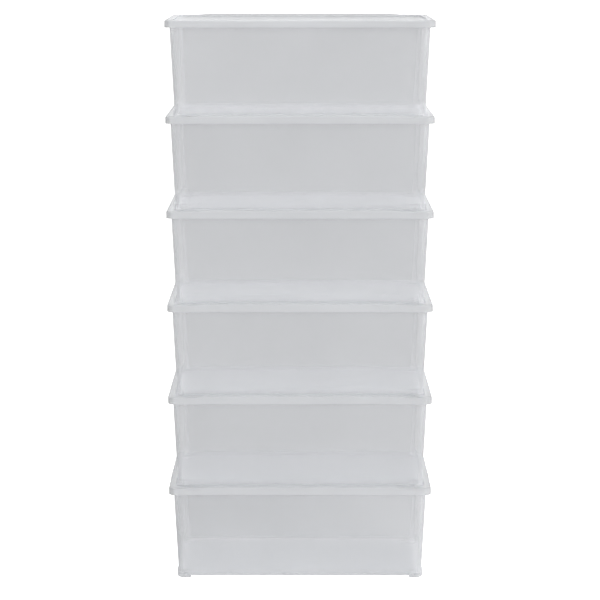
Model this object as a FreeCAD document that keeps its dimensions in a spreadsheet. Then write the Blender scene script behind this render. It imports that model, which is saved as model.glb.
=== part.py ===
import FreeCAD, Part
import math
import os

import Sketcher

# A stack of six stackable shoe boxes, each a drafted plastic box with a loose lid.
# Every box stands on four moulded corner feet.  The feet of a box sit on the
# recessed panel of the lid below it, inside that lid's raised perimeter ridge.
# The lid hooks over the box's rim: the rim stands in a channel between the lid's
# plug wall and its skirt.
#
# Frame: millimetres, +Z up, Z = 0 under the feet of the lowest box, X along the
# long side, the front long side faces -Y, origin in the middle of the footprint.
# A box or lid is drawn at the lowest level and its Placement lifts it by whole
# stacking pitches.

V = FreeCAD.Vector
STORIES = 6

doc = FreeCAD.newDocument("ShoeBoxStack")

# ------------------------------------------------------------------ dimensions
sheet = doc.addObject("Spreadsheet::Sheet", "Dims")
sheet.Label = "Dims"
DIMENSIONS = (
    # stacking
    ("pitch", 120.1, "height that each box with its lid adds to the stack"),
    # box shell, half sizes in plan
    ("shell_base", 2.3, "underside of the floor above the feet's soles"),
    ("shell_top", 121.7, "rim top, which carries the lid"),
    ("base_half_x", 158.5, "outer half length at the floor"),
    ("base_half_y", 88.5, "outer half width at the floor"),
    ("base_corner", 6.6, "outer corner radius at the floor"),
    ("draft", 2.88, "lean of all four walls, in degrees"),
    ("wall_inset", 1.13, "hollow inside the shell, which leaves a 1.2 mm wall"),
    ("floor_top", 3.7, "top of the floor"),
    ("floor_round", 5.0, "inner radius between floor and walls"),
    ("base_round", 1.8, "outer radius between floor and walls"),
    # box rim
    ("rim_half_x", 167.9, "half length over the rim"),
    ("rim_half_y", 97.9, "half width over the rim"),
    ("rim_corner", 8.6, "corner radius of the rim"),
    ("rim_thick", 1.3, "thickness of the outward flange"),
    ("lip_thick", 1.1, "thickness of the down-turned lip"),
    ("lip_base", 115.6, "underside of the lip"),
    # feet
    ("foot_half_x", 160.6, "half length over the feet"),
    ("foot_half_y", 90.6, "half width over the feet"),
    ("foot_span", 18.2, "length of a foot along each side"),
    ("foot_corner", 11.8, "outer corner radius of a foot"),
    ("foot_height", 10.4, "height of a foot"),
    ("foot_round", 1.4, "radius round a foot's sole"),
    # lid
    ("lid_half_x", 170.0, "half length of the lid"),
    ("lid_half_y", 100.0, "half width of the lid"),
    ("lid_corner", 9.0, "corner radius of the lid"),
    ("skirt_base", 113.6, "lower edge of the skirt"),
    ("ridge_top", 123.0, "top of the perimeter ridge"),
    ("panel_top", 120.1, "top of the recessed panel"),
    ("lid_thick", 1.2, "thickness of the lid"),
    ("ridge_half_x", 161.2, "inner half length of the ridge"),
    ("ridge_half_y", 91.2, "inner half width of the ridge"),
    ("ridge_corner", 12.0, "inner corner radius of the ridge"),
    ("channel_top", 121.7, "ceiling of the channel that the rim stands in"),
    ("edge_round", 1.7, "radius round the lid's upper edge"),
    ("ridge_round", 0.8, "radius along the ridge's inner edge"),
    ("panel_round", 0.9, "radius where the panel meets the ridge"),
    # raised middle of the two long ridges
    ("crown_rise", 1.1, "how far the middle of a long ridge stands up"),
    ("crown_half", 121.5, "half length of the raised stretch"),
    ("crown_ramp", 13.8, "length of each ramp down to the ridge"),
    # finger tabs on the short sides
    ("tab_half", 23.4, "half length of a finger tab"),
    ("tab_reach", 1.3, "how far a tab stands out of the skirt"),
    ("tab_height", 4.6, "height of a tab"),
)
D = {}
for row, (alias, value, note) in enumerate(DIMENSIONS, start=1):
    sheet.set("A%d" % row, alias)
    sheet.set("B%d" % row, "%g" % value)
    sheet.set("C%d" % row, note)
    sheet.setAlias("B%d" % row, alias)
    D[alias] = value
doc.recompute()


def ref(expression):
    """An expression in the sheet's aliases, each written as Dims.alias."""
    out, word = "", ""
    for ch in expression + " ":
        if ch.isalpha() or ch == "_":
            word += ch
            continue
        out += ("Dims." + word if word in D else word) + ch
        word = ""
    return out.strip()


def number(expression):
    """The same expression worked out from the table above."""
    total, sign = 0.0, 1.0
    out = []
    word = ""
    for ch in expression + " ":
        if ch.isalnum() or ch in "_.":
            word += ch
            continue
        if word:
            out.append(D[word] if word in D else float(word))
            word = ""
        if ch in "+-*/()":
            out.append(ch)
    return evaluate(out)


def evaluate(tokens):
    """A small arithmetic reader: sums of products with brackets."""
    tokens = list(tokens)

    def factor():
        head = tokens.pop(0)
        if head == "-":
            return -factor()
        if head == "(":
            value = total()
            tokens.pop(0)
            return value
        return head

    def product():
        value = factor()
        while tokens and tokens[0] in ("*", "/"):
            sign = tokens.pop(0)
            other = factor()
            value = value * other if sign == "*" else value / other
        return value

    def total():
        value = product()
        while tokens and tokens[0] in ("+", "-"):
            sign = tokens.pop(0)
            other = product()
            value = value + other if sign == "+" else value - other
        return value

    return total()


# -------------------------------------------------------------------- sketches
def new_sketch(body, name, role="XY_Plane", level=None):
    """A sketch on one of the body's own origin planes, raised to a level."""
    sketch = body.newObject("Sketcher::SketchObject", name)
    plane = [f for f in body.Origin.OriginFeatures if f.Role == role][0]
    sketch.AttachmentSupport = [(plane, "")]
    sketch.MapMode = "FlatFace"
    if level is not None:
        sketch.AttachmentOffset = FreeCAD.Placement(
            V(0, 0, number(level)), FreeCAD.Rotation()
        )
        sketch.setExpression("AttachmentOffset.Base.z", ref(level))
    return sketch


def bind(sketch, kind, places, expression, name):
    """One driving size of a sketch, named and bound to the sheet."""
    index = sketch.addConstraint(
        Sketcher.Constraint(kind, *places, number(expression))
    )
    sketch.renameConstraint(index, name)
    sketch.setExpression("Constraints." + name, ref(expression))
    return index


def rounded_outline(sketch, half_x, half_y, corner, tag=""):
    """A rounded rectangle centred on the origin."""
    hx, hy, r = number(half_x), number(half_y), number(corner)
    x, y = hx - r, hy - r
    quarter = math.pi / 2

    def line(x1, y1, x2, y2):
        return sketch.addGeometry(Part.LineSegment(V(x1, y1, 0), V(x2, y2, 0)))

    def arc(cx, cy, start):
        circle = Part.Circle(V(cx, cy, 0), V(0, 0, 1), r)
        return sketch.addGeometry(
            Part.ArcOfCircle(circle, start * quarter, (start + 1) * quarter)
        )

    g = [
        line(-x, -hy, x, -hy),
        arc(x, -y, 3),
        line(hx, -y, hx, y),
        arc(x, y, 0),
        line(x, hy, -x, hy),
        arc(-x, y, 1),
        line(-hx, y, -hx, -y),
        arc(-x, -y, 2),
    ]
    for i in range(8):
        sketch.addConstraint(
            Sketcher.Constraint("Tangent", g[i], 2, g[(i + 1) % 8], 1)
        )
    for i in (0, 4):
        sketch.addConstraint(Sketcher.Constraint("Horizontal", g[i]))
    for i in (2, 6):
        sketch.addConstraint(Sketcher.Constraint("Vertical", g[i]))
    for i in (3, 5, 7):
        sketch.addConstraint(Sketcher.Constraint("Equal", g[1], g[i]))
    sketch.addConstraint(Sketcher.Constraint("Symmetric", g[1], 3, g[5], 3, -1, 1))
    bind(sketch, "Radius", (g[1],), corner, "corner" + tag)
    bind(sketch, "DistanceX", (-1, 1, g[2], 1), half_x, "halfLength" + tag)
    bind(sketch, "DistanceY", (-1, 1, g[4], 1), half_y, "halfWidth" + tag)
    return g


def straight_outline(sketch, points, sizes):
    """A closed outline of straight lines, which is level or upright where its
    points say so.  sizes are (index of point, "x" or "y", expression, name) and
    measure a point from the origin."""
    n = len(points)
    g = []
    for i in range(n):
        a, b = points[i], points[(i + 1) % n]
        g.append(sketch.addGeometry(Part.LineSegment(V(*a, 0), V(*b, 0))))
    for i in range(n):
        sketch.addConstraint(
            Sketcher.Constraint("Coincident", g[i], 2, g[(i + 1) % n], 1)
        )
        a, b = points[i], points[(i + 1) % n]
        if abs(a[1] - b[1]) < 1e-9:
            sketch.addConstraint(Sketcher.Constraint("Horizontal", g[i]))
        elif abs(a[0] - b[0]) < 1e-9:
            sketch.addConstraint(Sketcher.Constraint("Vertical", g[i]))
    for index, axis, expression, name in sizes:
        value = number(expression)
        kind = "DistanceX" if axis == "x" else "DistanceY"
        if value >= 0:
            bind(sketch, kind, (-1, 1, g[index], 1), expression, name)
        else:
            bind(sketch, kind, (g[index], 1, -1, 1), "-(" + expression + ")", name)
    return g


# -------------------------------------------------------------------- features
def pad(body, sketch, name, length, both_ways=False):
    feature = body.newObject("PartDesign::Pad", name)
    feature.Profile = sketch
    feature.Length = number(length)
    feature.setExpression("Length", ref(length))
    if both_ways:
        feature.Midplane = True
    doc.recompute()
    return feature


def pocket(body, sketch, name, length, upwards=True):
    """A pocket that runs up (+Z) from its sketch, or down."""
    before = body.Tip.Shape.Volume
    feature = body.newObject("PartDesign::Pocket", name)
    feature.Profile = sketch
    feature.Length = number(length)
    feature.setExpression("Length", ref(length))
    feature.Reversed = upwards
    doc.recompute()
    if feature.Shape.Volume > before - 1.0:
        raise RuntimeError("%s of %s cuts nothing" % (name, body.Label))
    return feature


def lean(feature, angle):
    """Drafts the feature's sides outwards by an angle of the sheet."""
    feature.TaperAngle = number(angle)
    feature.setExpression("TaperAngle", ref(angle))
    doc.recompute()


def edges_where(body, test):
    """The names of the tip's edges for which test(edge) is true."""
    return [
        "Edge%d" % (i + 1) for i, e in enumerate(body.Tip.Shape.Edges) if test(e)
    ]


def level_edge(height):
    """A test for edges that lie level at a height, all the way along."""

    def test(edge):
        box = edge.BoundBox
        return abs(box.ZMin - height) < 0.02 and abs(box.ZMax - height) < 0.02

    return test


def dress(body, kind, name, test, size):
    """A fillet or chamfer along the edges that pass the test."""
    base = body.Tip
    names = edges_where(body, test)
    if not names:
        raise RuntimeError("%s of %s finds no edge" % (name, body.Label))
    feature = body.newObject("PartDesign::" + kind, name)
    feature.Base = (base, names)
    where = "Radius" if kind == "Fillet" else "Size"
    setattr(feature, where, number(size))
    feature.setExpression(where, ref(size))
    doc.recompute()
    return feature


def reaches(edge, x=None, y=None):
    """True if the edge gets as far out as x along X or y along Y."""
    box = edge.BoundBox
    return (x is not None and max(box.XMax, -box.XMin) > x) or (
        y is not None and max(box.YMax, -box.YMin) > y
    )


# ------------------------------------------------------------------------- box
def make_box(story):
    body = doc.addObject("PartDesign::Body", "Box%d" % story)
    body.Label = "box_%d" % story

    # drafted outer shell, solid for now
    base = new_sketch(body, "ShellBase%d" % story, level="shell_base")
    rounded_outline(base, "base_half_x", "base_half_y", "base_corner")
    lean(pad(body, base, "Shell%d" % story, "shell_top-shell_base"), "draft")
    dress(body, "Fillet", "BaseRound%d" % story, level_edge(D["shell_base"]), "base_round")

    # outward rim flange with a down-turned lip
    flange = new_sketch(body, "FlangeOutline%d" % story, level="shell_top-rim_thick")
    rounded_outline(flange, "rim_half_x", "rim_half_y", "rim_corner")
    pad(body, flange, "Flange%d" % story, "rim_thick")
    lip = new_sketch(body, "LipOutline%d" % story, level="lip_base")
    rounded_outline(lip, "rim_half_x", "rim_half_y", "rim_corner", "Out")
    rounded_outline(
        lip,
        "rim_half_x-lip_thick",
        "rim_half_y-lip_thick",
        "rim_corner-lip_thick",
        "In",
    )
    pad(body, lip, "Lip%d" % story, "shell_top-rim_thick/2-lip_base")

    # four corner feet: one is drawn, the other three are its mirror images
    foot = new_sketch(body, "FootOutline%d" % story, level="0*foot_height")
    hx, hy = D["foot_half_x"], D["foot_half_y"]
    s, r = D["foot_span"], D["foot_corner"]
    g = []

    def line(x1, y1, x2, y2):
        g.append(foot.addGeometry(Part.LineSegment(V(x1, y1, 0), V(x2, y2, 0))))

    line(hx - s, hy - s, hx, hy - s)
    line(hx, hy - s, hx, hy - r)
    circle = Part.Circle(V(hx - r, hy - r, 0), V(0, 0, 1), r)
    g.append(foot.addGeometry(Part.ArcOfCircle(circle, 0, math.pi / 2)))
    line(hx - r, hy, hx - s, hy)
    line(hx - s, hy, hx - s, hy - s)
    foot.addConstraint(Sketcher.Constraint("Coincident", g[0], 2, g[1], 1))
    foot.addConstraint(Sketcher.Constraint("Tangent", g[1], 2, g[2], 1))
    foot.addConstraint(Sketcher.Constraint("Tangent", g[2], 2, g[3], 1))
    foot.addConstraint(Sketcher.Constraint("Coincident", g[3], 2, g[4], 1))
    foot.addConstraint(Sketcher.Constraint("Coincident", g[4], 2, g[0], 1))
    for i in (0, 3):
        foot.addConstraint(Sketcher.Constraint("Horizontal", g[i]))
    for i in (1, 4):
        foot.addConstraint(Sketcher.Constraint("Vertical", g[i]))
    bind(foot, "Radius", (g[2],), "foot_corner", "corner")
    bind(foot, "DistanceX", (-1, 1, g[0], 2), "foot_half_x", "halfLength")
    bind(foot, "DistanceY", (-1, 1, g[3], 2), "foot_half_y", "halfWidth")
    bind(foot, "DistanceX", (g[0], 1, g[0], 2), "foot_span", "spanX")
    bind(foot, "DistanceY", (g[4], 2, g[4], 1), "foot_span", "spanY")
    one_foot = pad(body, foot, "Foot%d" % story, "foot_height")

    planes = {f.Role: f for f in body.Origin.OriginFeatures}
    feet = body.newObject("PartDesign::MultiTransform", "Feet%d" % story)
    feet.Originals = [one_foot]
    across = doc.addObject("PartDesign::Mirrored", "AcrossX%d" % story)
    across.MirrorPlane = (planes["YZ_Plane"], [""])
    along = doc.addObject("PartDesign::Mirrored", "AcrossY%d" % story)
    along.MirrorPlane = (planes["XZ_Plane"], [""])
    feet.Transformations = [across, along]
    body.Tip = feet
    doc.recompute()

    # hollow, open at the mouth, with the walls' own lean
    floor = new_sketch(body, "HollowFloor%d" % story, level="floor_top")
    rounded_outline(
        floor, "base_half_x-wall_inset", "base_half_y-wall_inset", "base_corner-wall_inset"
    )
    before = body.Tip.Shape.Volume
    lean(pocket(body, floor, "Hollow%d" % story, "shell_top-floor_top"), "draft")
    if body.Tip.Shape.Volume > 0.1 * before:
        raise RuntimeError("the hollow of %s cuts too little" % body.Label)
    dress(body, "Fillet", "FloorRound%d" % story, level_edge(D["floor_top"]), "floor_round")

    # sole edges of the feet, and the rim's edges
    dress(body, "Fillet", "SoleRound%d" % story, level_edge(0.0), "foot_round")
    dress(
        body,
        "Fillet",
        "RimRound%d" % story,
        level_edge(D["shell_top"]),
        "rim_thick*0.35",
    )

    # softened shoulders where the feet stand out of the walls
    def shoulder(edge):
        return level_edge(D["foot_height"])(edge) and reaches(
            edge, D["foot_half_x"] - 0.02, D["foot_half_y"] - 0.02
        )

    dress(body, "Fillet", "ShoulderRound%d" % story, shoulder, "foot_round*0.6")
    return body


# ------------------------------------------------------------------------- lid
def make_lid(story):
    body = doc.addObject("PartDesign::Body", "Lid%d" % story)
    body.Label = "lid_%d" % story

    # full block from the skirt's lower edge to the ridge
    block = new_sketch(body, "LidOutline%d" % story, level="skirt_base")
    rounded_outline(block, "lid_half_x", "lid_half_y", "lid_corner")
    pad(body, block, "LidBlock%d" % story, "ridge_top-skirt_base")

    # the raised middle stretch of the long ridges, with a ramp at each end
    crown = new_sketch(body, "CrownProfile%d" % story, role="XZ_Plane")
    a, b = D["crown_half"], D["crown_half"] + D["crown_ramp"]
    top, low = D["ridge_top"] + D["crown_rise"], D["ridge_top"]
    sunk = D["panel_top"]
    g = straight_outline(
        crown,
        [(-b, sunk), (b, sunk), (b, low), (a, top), (-a, top), (-b, low)],
        [
            (0, "y", "panel_top", "sunk"),
            (1, "x", "crown_half+crown_ramp", "rampEnd"),
            (2, "y", "ridge_top", "low"),
            (3, "x", "crown_half", "flatEnd"),
            (3, "y", "ridge_top+crown_rise", "top"),
            (4, "x", "0-crown_half", "flatStart"),
            (5, "x", "0-crown_half-crown_ramp", "rampStart"),
            (5, "y", "ridge_top", "lowStart"),
        ],
    )
    pad(body, crown, "Crown%d" % story, "2*lid_half_y", both_ways=True)

    # rounded upper edge of the lid
    def upper_outer(edge):
        box = edge.BoundBox
        along_y = abs(abs(box.YMin) - D["lid_half_y"]) < 0.02 and abs(
            box.YMax - box.YMin
        ) < 0.02
        along_x = abs(abs(box.XMin) - D["lid_half_x"]) < 0.02 and abs(
            box.XMax - box.XMin
        ) < 0.02
        corner = (
            max(box.XMax, -box.XMin) > D["lid_half_x"] - 0.02
            and max(box.YMax, -box.YMin) > D["lid_half_y"] - 0.02
        )
        return box.ZMin > D["ridge_top"] - 0.02 and (along_x or along_y or corner)

    dress(body, "Fillet", "EdgeRound%d" % story, upper_outer, "edge_round")

    # recessed panel inside the ridge
    recess = new_sketch(body, "PanelOutline%d" % story, level="panel_top")
    rounded_outline(recess, "ridge_half_x", "ridge_half_y", "ridge_corner")
    pocket(body, recess, "PanelRecess%d" % story, "ridge_top-panel_top+2*crown_rise")
    dress(
        body, "Fillet", "PanelRound%d" % story, level_edge(D["panel_top"]), "panel_round"
    )

    # finger tabs on the short sides
    tabs = new_sketch(body, "TabOutline%d" % story, level="skirt_base")
    inner = D["lid_half_x"] - D["lid_thick"] / 2
    outer = D["lid_half_x"] + D["tab_reach"]
    half = D["tab_half"]
    for sign, tag in ((1, "Right"), (-1, "Left")):
        near, far = (
            ("lid_half_x-lid_thick/2", "lid_half_x+tab_reach")
            if sign > 0
            else ("0-(lid_half_x-lid_thick/2)", "0-(lid_half_x+tab_reach)")
        )
        straight_outline(
            tabs,
            [
                (sign * inner, -half),
                (sign * outer, -half),
                (sign * outer, half),
                (sign * inner, half),
            ],
            [
                (0, "x", near, "near" + tag),
                (1, "x", far, "far" + tag),
                (1, "y", "0-tab_half", "front" + tag),
                (2, "y", "tab_half", "back" + tag),
            ],
        )
    pad(body, tabs, "Tabs%d" % story, "tab_height")

    # underside: the well below the panel, then the channel for the box's rim
    well = new_sketch(body, "WellOutline%d" % story, level="skirt_base")
    rounded_outline(
        well,
        "lid_half_x-lid_thick",
        "lid_half_y-lid_thick",
        "lid_corner-lid_thick",
    )
    pocket(body, well, "Well%d" % story, "panel_top-lid_thick-skirt_base")
    channel = new_sketch(body, "ChannelOutline%d" % story, level="panel_top-lid_thick")
    rounded_outline(
        channel,
        "lid_half_x-lid_thick",
        "lid_half_y-lid_thick",
        "lid_corner-lid_thick",
        "Out",
    )
    rounded_outline(
        channel,
        "ridge_half_x+lid_thick",
        "ridge_half_y+lid_thick",
        "ridge_corner+lid_thick",
        "In",
    )
    pocket(body, channel, "Channel%d" % story, "channel_top-panel_top+lid_thick")

    # small rounds on the ridge's inner edge and on the tabs
    def ridge_inner(edge):
        inside = not reaches(edge, D["ridge_half_x"] + 0.02, D["ridge_half_y"] + 0.02)
        return edge.BoundBox.ZMin > D["ridge_top"] - 0.02 and inside

    dress(body, "Fillet", "RidgeRound%d" % story, ridge_inner, "ridge_round")

    def tab_edge(edge):
        box = edge.BoundBox
        out = max(box.XMax, -box.XMin) > D["lid_half_x"] + D["tab_reach"] - 0.02
        upright_or_top = (
            box.ZMax - box.ZMin > 1.0
            or box.ZMin > D["skirt_base"] + D["tab_height"] - 0.02
        )
        return out and upright_or_top and abs(box.XMax - box.XMin) < 0.02

    dress(body, "Fillet", "TabRound%d" % story, tab_edge, "tab_reach*0.6")
    return body


# ---------------------------------------------------------------------- stack
pieces = []
for story in range(1, STORIES + 1):
    for maker in (make_box, make_lid):
        body = maker(story)
        lift = FreeCAD.Placement(V(0, 0, (story - 1) * D["pitch"]), FreeCAD.Rotation())
        body.Placement = lift
        body.setExpression("Placement.Base.z", ref("%d*pitch" % (story - 1)))
        pieces.append(body)
doc.recompute()

# --------------------------------------------------------------------- checks
for item in doc.Objects:
    if "Invalid" in item.State or "Error" in item.State:
        raise RuntimeError("%s failed: %s" % (item.Label, item.State))
for body in pieces:
    shape = body.Shape
    if shape.isNull() or not shape.isValid() or len(shape.Solids) != 1:
        raise RuntimeError("%s is not one valid solid" % body.Label)

os.makedirs("parts", exist_ok=True)
for body in pieces:
    body.Shape.exportStep("parts/%s.step" % body.Label)
    box = body.Shape.BoundBox
    print(
        "%-6s volume %8.1f mm3  X %.1f..%.1f  Y %.1f..%.1f  Z %.1f..%.1f"
        % (
            body.Label,
            body.Shape.Volume,
            box.XMin,
            box.XMax,
            box.YMin,
            box.YMax,
            box.ZMin,
            box.ZMax,
        )
    )
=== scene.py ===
import math

import bpy
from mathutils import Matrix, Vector

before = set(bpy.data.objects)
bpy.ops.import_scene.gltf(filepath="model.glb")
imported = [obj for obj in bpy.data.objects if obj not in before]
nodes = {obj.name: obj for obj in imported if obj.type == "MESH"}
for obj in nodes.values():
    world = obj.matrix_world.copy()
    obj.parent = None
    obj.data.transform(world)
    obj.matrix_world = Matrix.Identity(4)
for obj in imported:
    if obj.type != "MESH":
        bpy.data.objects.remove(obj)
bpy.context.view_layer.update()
PITCH = 0.1201

scene = bpy.context.scene
scene.view_settings.view_transform = "Standard"
scene.view_settings.look = "None"
scene.cycles.transparent_max_bounces = 48
scene.cycles.max_bounces = 16
scene.cycles.diffuse_bounces = 6


# ------------------------------------------------------------------ materials
def plastic(name, tint, alpha, rough, grain, zones):
    m = bpy.data.materials.new(name)
    m.use_nodes = True
    nt = m.node_tree
    p = next(n for n in nt.nodes if n.type == "BSDF_PRINCIPLED")

    def node(kind, **props):
        n = nt.nodes.new(kind)
        for k, v in props.items():
            setattr(n, k, v)
        return n

    def link(a, b):
        nt.links.new(a, b)

    where = node("ShaderNodeTexCoord")

    cloud = node("ShaderNodeTexNoise", noise_dimensions="3D")
    cloud.inputs["Scale"].default_value = 9.0
    cloud.inputs["Detail"].default_value = 5.0
    cloud.inputs["Roughness"].default_value = 0.55
    link(where.outputs["Object"], cloud.inputs["Vector"])
    colour = node("ShaderNodeValToRGB")
    colour.color_ramp.elements[0].position = 0.30
    colour.color_ramp.elements[1].position = 0.70
    dark = tuple(c * 0.97 for c in tint)
    light = tuple(min(c * 1.03, 1.0) for c in tint)
    colour.color_ramp.elements[0].color = (*dark, 1)
    colour.color_ramp.elements[1].color = (*light, 1)
    link(cloud.outputs["Fac"], colour.inputs["Fac"])

    # zones: each one is (amount, axis terms, start, end); the tint is scaled by
    # 1 + amount where the weighted sum of |x|, y and the height in the piece's
    # own level has passed from start to end
    parts = node("ShaderNodeSeparateXYZ")
    link(where.outputs["Object"], parts.inputs["Vector"])

    def math1(operation, a, b=None, c=None):
        n = node("ShaderNodeMath", operation=operation)
        for i, v in enumerate((a, b, c)):
            if v is None:
                continue
            if isinstance(v, (int, float)):
                n.inputs[i].default_value = v
            else:
                link(v, n.inputs[i])
        return n.outputs[0]

    ax = math1("ABSOLUTE", parts.outputs["X"])
    level_start = zones[0]
    height = math1("MODULO", math1("ADD", parts.outputs["Z"], PITCH - level_start + 0.0001), PITCH)
    scale = 1.0
    for amount, (wx, wy, wz), start, end in zones[1]:
        total = math1("MULTIPLY_ADD", ax, wx, math1("MULTIPLY_ADD", parts.outputs["Y"], wy, math1("MULTIPLY", height, wz)))
        step = node("ShaderNodeMapRange", interpolation_type="SMOOTHSTEP")
        step.inputs["From Min"].default_value = start
        step.inputs["From Max"].default_value = end
        step.inputs["To Min"].default_value = 1.0
        step.inputs["To Max"].default_value = 1.0 + amount
        link(total, step.inputs["Value"])
        scale = math1("MULTIPLY", step.outputs["Result"], scale)

    tinted = node("ShaderNodeVectorMath", operation="SCALE")
    link(colour.outputs["Color"], tinted.inputs[0])
    link(scale, tinted.inputs["Scale"])
    link(tinted.outputs["Vector"], p.inputs["Base Color"])

    fine = node("ShaderNodeTexNoise", noise_dimensions="3D")
    fine.inputs["Scale"].default_value = 900.0
    fine.inputs["Detail"].default_value = 3.0
    link(where.outputs["Object"], fine.inputs["Vector"])
    spread = node("ShaderNodeMapRange")
    spread.inputs["To Min"].default_value = rough - 0.05
    spread.inputs["To Max"].default_value = rough + 0.07
    link(fine.outputs["Fac"], spread.inputs["Value"])
    link(spread.outputs["Result"], p.inputs["Roughness"])
    bump = node("ShaderNodeBump")
    bump.inputs["Strength"].default_value = grain
    bump.inputs["Distance"].default_value = 0.00012
    link(fine.outputs["Fac"], bump.inputs["Height"])
    link(bump.outputs["Normal"], p.inputs["Normal"])

    p.inputs["Alpha"].default_value = alpha
    p.inputs["IOR"].default_value = 1.49
    p.inputs["Specular IOR Level"].default_value = 0.5
    p.inputs["Subsurface Weight"].default_value = 0.0
    return m


# the box: paler end walls as painted light from the side lamps, front corners darkened as painted
# shade, floor and wall feet made lighter as painted bounced light, soles dulled by standing
box_plastic = plastic(
    "box_plastic_frosted", (0.775, 0.786, 0.808), 0.28, 0.25, 0.15,
    (0.0, (
        # painted light: the end walls lighter, as lit by the side lamps
        (0.19, (1.0, 0.0, -0.0503), 0.1500, 0.1530),
        # painted shade: the rounded front corners darkened against their glare from the lamps
        (-0.22, (1.0, -1.0, -0.1006), 0.2385, 0.2405),
        # painted light: the lower walls, floor and feet lighter, standing in for light bounced up
        # from the lid or floor below
        (0.09, (0.0, 0.0, -1.0), -0.0340, -0.0060),
        (0.08, (0.0, 0.0, -1.0), -0.0062, -0.0040),
        (-0.10, (0.0, 0.0, -1.0), -0.0018, -0.0006),
    )),
)
# the lid: a pale ridge that is partly rubbing wear and partly a painted highlight, a skirt that
# darkens towards its lower edge, and ends darkened as painted shade
lid_plastic = plastic(
    "lid_plastic_frosted", (0.875, 0.886, 0.904), 0.36, 0.32, 0.06,
    (0.1100, (
        # partly rubbing wear and partly painted highlight: the ridge top lighter
        (0.04, (0.0, 0.0, 1.0), 0.0112, 0.0124),
        (-0.03, (0.0, 0.0, -1.0), -0.0070, -0.0036),
        # painted shade: the lid ends darkened against their glare from the lamps
        (-0.12, (1.0, 0.0, 0.0), 0.1620, 0.1660),
    )),
)
for name, obj in nodes.items():
    material = box_plastic if name.startswith("box") else lid_plastic
    for slot in obj.material_slots:
        slot.material = material

# ------------------------------------------------------------- floor and light
WORLD, GLOSS, BEHIND = 0.11, 1.0, 0.55


def sight(tree, light, gloss, behind, bare):
    """Four levels in one number: what it gives as light, what is mirrored of it
    in glossy faces, what is seen of it through plastic, and what is seen of it
    with nothing in front."""
    path = tree.nodes.new("ShaderNodeLightPath")

    def choose(a, low, high):
        n = tree.nodes.new("ShaderNodeMapRange")
        for key, v in (("Value", a), ("To Min", low), ("To Max", high)):
            if isinstance(v, float):
                n.inputs[key].default_value = v
            else:
                tree.links.new(v, n.inputs[key])
        return n.outputs["Result"]

    through = tree.nodes.new("ShaderNodeMath")
    through.operation = "GREATER_THAN"
    through.inputs[1].default_value = 0.5
    tree.links.new(path.outputs["Transparent Depth"], through.inputs[0])
    seen = choose(through.outputs[0], bare, behind)
    given = choose(path.outputs["Is Glossy Ray"], light, gloss)
    return choose(path.outputs["Is Camera Ray"], given, seen)


floor_mesh = bpy.data.meshes.new("floor")
R, N = 80.0, 96
ring = [(R * math.cos(2 * math.pi * i / N), R * math.sin(2 * math.pi * i / N), 0.0) for i in range(N)]
floor_mesh.from_pydata(ring, [], [tuple(range(N))])
floor = bpy.data.objects.new("floor", floor_mesh)
scene.collection.objects.link(floor)
floor.location.z = -0.0002
fm = bpy.data.materials.new("floor_paper")
fm.use_nodes = True
fp = next(n for n in fm.node_tree.nodes if n.type == "BSDF_PRINCIPLED")
fp.inputs["Base Color"].default_value = (0.92, 0.92, 0.92, 1)
fp.inputs["Roughness"].default_value = 0.9
fp.inputs["Specular IOR Level"].default_value = 0.0
fp.inputs["Emission Color"].default_value = (1, 1, 1, 1)
fm.node_tree.links.new(
    sight(fm.node_tree, 0.08, 0.30, 0.0, 1.0), fp.inputs["Emission Strength"]
)
floor_mesh.materials.append(fm)

world = bpy.data.worlds.new("studio")
scene.world = world
world.use_nodes = True
bg = next(n for n in world.node_tree.nodes if n.type == "BACKGROUND")
bg.inputs["Color"].default_value = (1, 1, 1, 1)
world.node_tree.links.new(
    sight(world.node_tree, WORLD, GLOSS, BEHIND, 1.0), bg.inputs["Strength"]
)


def sun(name, direction, strength, angle, glints=True):
    data = bpy.data.lights.new(name, "SUN")
    data.energy = strength
    data.angle = math.radians(angle)
    o = bpy.data.objects.new(name, data)
    scene.collection.objects.link(o)
    o.rotation_mode = "QUATERNION"
    o.rotation_quaternion = Vector(direction).to_track_quat("-Z", "Y")
    o.visible_glossy = glints
    return o


sun("front_right", (-0.50, 0.82, -0.32), 1.95, 50, False)
sun("side_right", (-0.95, 0.10, -0.30), 0.95, 50, False)
sun("side_left", (0.95, 0.10, -0.30), 0.85, 50, False)
sun("back_top", (0.05, -0.90, -0.42), 0.90, 60)

# --------------------------------------------------------------------- camera
cam_data = bpy.data.cameras.new("camera")
cam_data.lens = 129.0
cam_data.sensor_width = 36.0
cam_data.dof.use_dof = False
cam = bpy.data.objects.new("camera", cam_data)
scene.collection.objects.link(cam)
cam.location = (0.0, -2.80, 0.8272)
aim = Vector((0.0, -0.100, 0.3698)) - cam.location
cam.rotation_mode = "QUATERNION"
cam.rotation_quaternion = aim.to_track_quat("-Z", "Y")
cam_data.clip_start, cam_data.clip_end = 0.05, 400.0
scene.camera = cam
